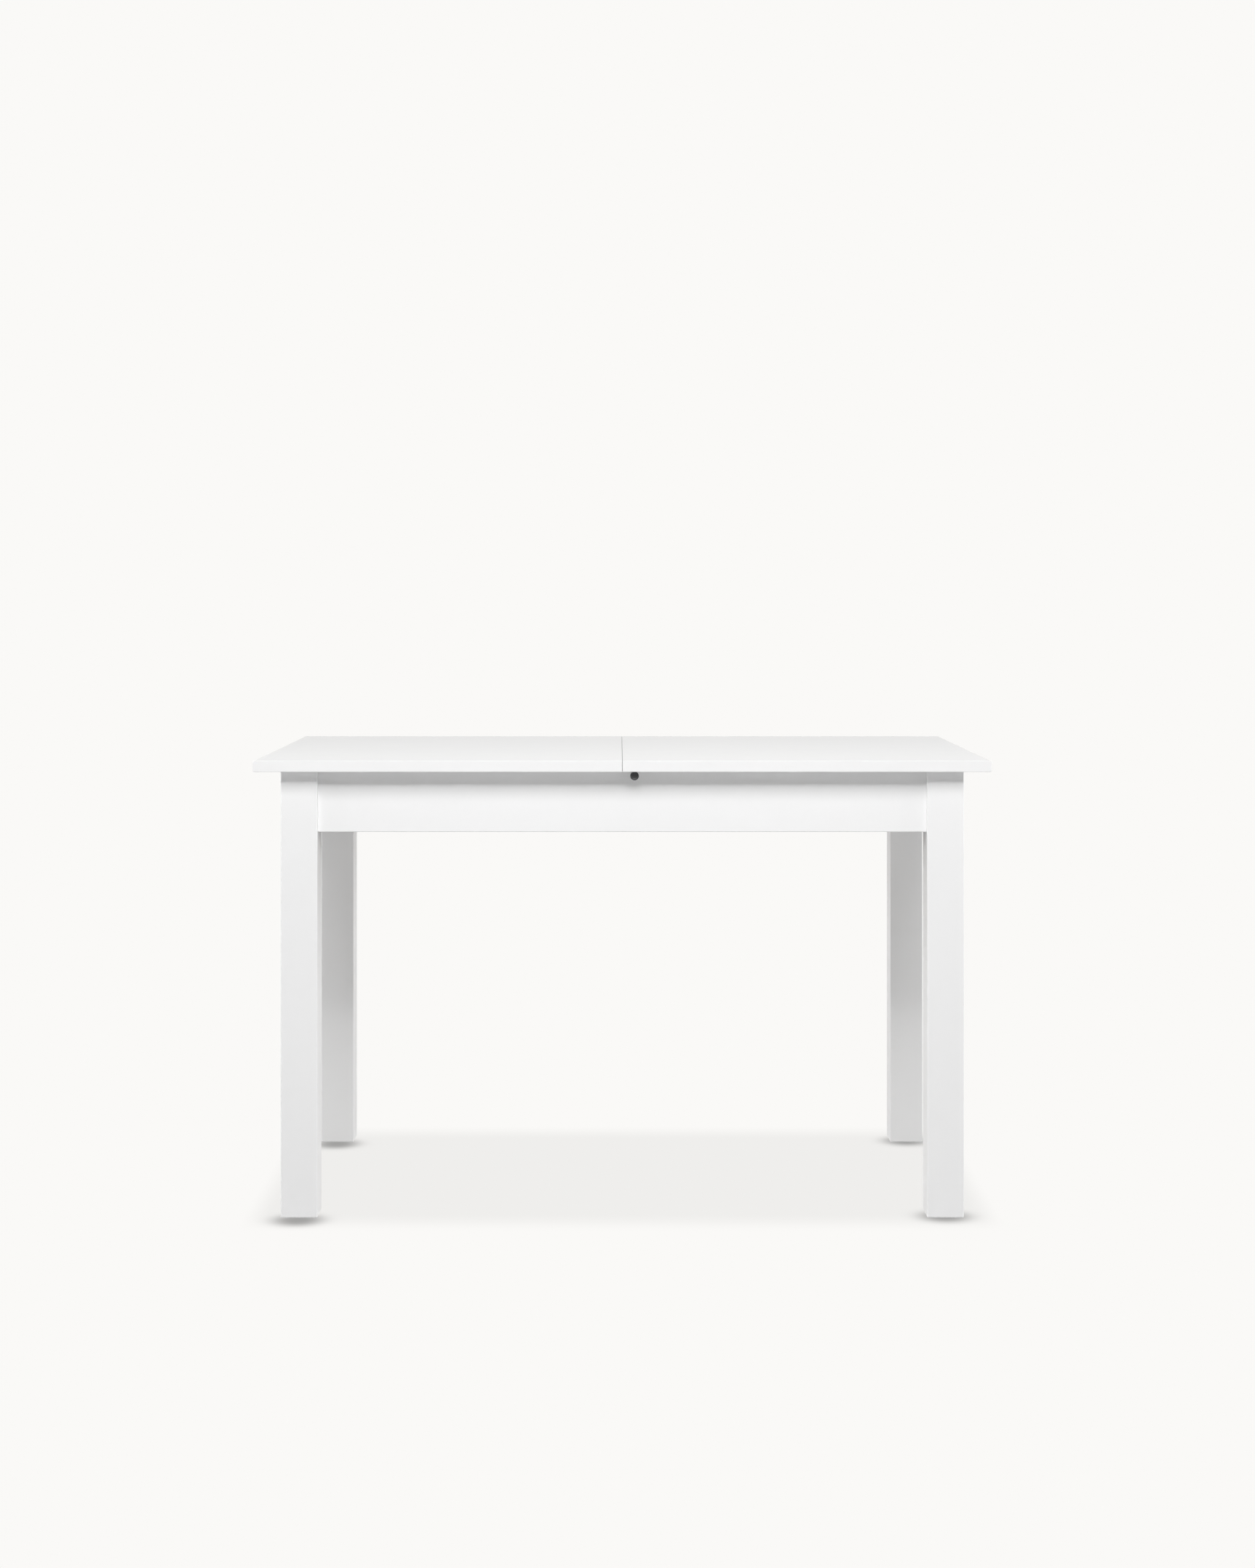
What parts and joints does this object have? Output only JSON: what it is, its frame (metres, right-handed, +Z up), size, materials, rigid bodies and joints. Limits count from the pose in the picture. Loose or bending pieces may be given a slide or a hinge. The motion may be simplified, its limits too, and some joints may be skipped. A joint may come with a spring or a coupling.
{
  "type": "extension dining table",
  "caption": "Rectangular white dining table with a split top that slides apart on a four-leg apron frame, with a folded insert leaf stored beneath.",
  "frame": {"origin": "centre of the table's footprint on the floor", "axes": "+X along the table's length, +Y towards the back, front at -Y, +Z up"},
  "size_m": [1.2, 0.7, 0.75],
  "materials": {
    "white_lacquer": "semi-matte white lacquer on board",
    "white_leg": "semi-matte white lacquer on solid wood",
    "beech": "raw beech, sanded",
    "pine": "raw softwood, planed",
    "zinc_steel": "zinc-plated steel",
    "spring_steel": "bright spring steel",
    "black_plastic": "dark moulded plastic, satin",
    "glide_plastic": "grey nylon",
    "felt": "grey felt"
  },
  "bodies": {
    "frame": {"apron_back": "white_lacquer", "apron_dowels": "beech", "apron_front": "white_lacquer", "apron_left": "white_lacquer", "apron_right": "white_lacquer", "bearer_angles": "zinc_steel", "bearer_left": "pine", "bearer_right": "pine", "bearer_screws": "zinc_steel", "catch_bracket_back": "zinc_steel", "catch_bracket_front": "zinc_steel", "catch_bracket_screws": "zinc_steel", "catch_spring_back": "spring_steel", "catch_spring_front": "spring_steel", "corner_bolts": "zinc_steel", "corner_brackets": "zinc_steel", "corner_nuts": "zinc_steel", "corner_screws": "zinc_steel", "corner_washers": "zinc_steel", "foot_glides": "glide_plastic", "glide_strips": "felt", "guide_rail_back": "beech", "guide_rail_front": "beech", "guide_rail_screws": "zinc_steel", "leaf_dowels": "beech", "leaf_hinge_lower_plates": "zinc_steel", "leaf_hinge_pins": "zinc_steel", "leaf_hinge_screws": "zinc_steel", "leaf_hinge_upper_plates": "zinc_steel", "leaf_panel_lower": "white_lacquer", "leaf_panel_upper": "white_lacquer", "leaf_stop_screws": "zinc_steel", "leaf_stops": "pine", "leg_back_left": "white_leg", "leg_back_right": "white_leg", "leg_front_left": "white_leg", "leg_front_right": "white_leg", "travel_buffers": "felt"},
    "right_half": {"keeper_right": "zinc_steel", "keeper_screws_right": "zinc_steel", "runner_right_back": "beech", "runner_right_front": "beech", "runner_screws_right": "zinc_steel", "seam_dowels_right": "beech", "top_right": "white_lacquer"},
    "left_half": {"keeper_left": "zinc_steel", "keeper_screws_left": "zinc_steel", "runner_left_back": "beech", "runner_left_front": "beech", "runner_screws_left": "zinc_steel", "seam_dowels_left": "beech", "top_left": "white_lacquer"},
    "catch_front": {"catch_rod_front": "zinc_steel", "catch_clip_front": "zinc_steel", "catch_knob_front": "black_plastic"},
    "catch_back": {"catch_rod_back": "zinc_steel", "catch_clip_back": "zinc_steel", "catch_knob_back": "black_plastic"}
  },
  "joints": [
    {"name": "right_half_slide", "type": "slide", "parent": "frame", "child": "right_half", "axis": [1, 0, 0], "range_m": [0, 0.2]},
    {"name": "left_half_slide", "type": "slide", "parent": "frame", "child": "left_half", "axis": [-1, 0, 0], "range_m": [0, 0.2]},
    {"name": "catch_front_pull", "type": "slide", "parent": "frame", "child": "catch_front", "axis": [0, -1, 0], "range_m": [0, 0.007], "stiffness_N_per_m": 350, "springref_m": -0.008, "deforming": ["catch_spring_front"]},
    {"name": "catch_back_pull", "type": "slide", "parent": "frame", "child": "catch_back", "axis": [0, 1, 0], "range_m": [0, 0.007], "stiffness_N_per_m": 350, "springref_m": -0.008, "deforming": ["catch_spring_back"]}
  ]
}
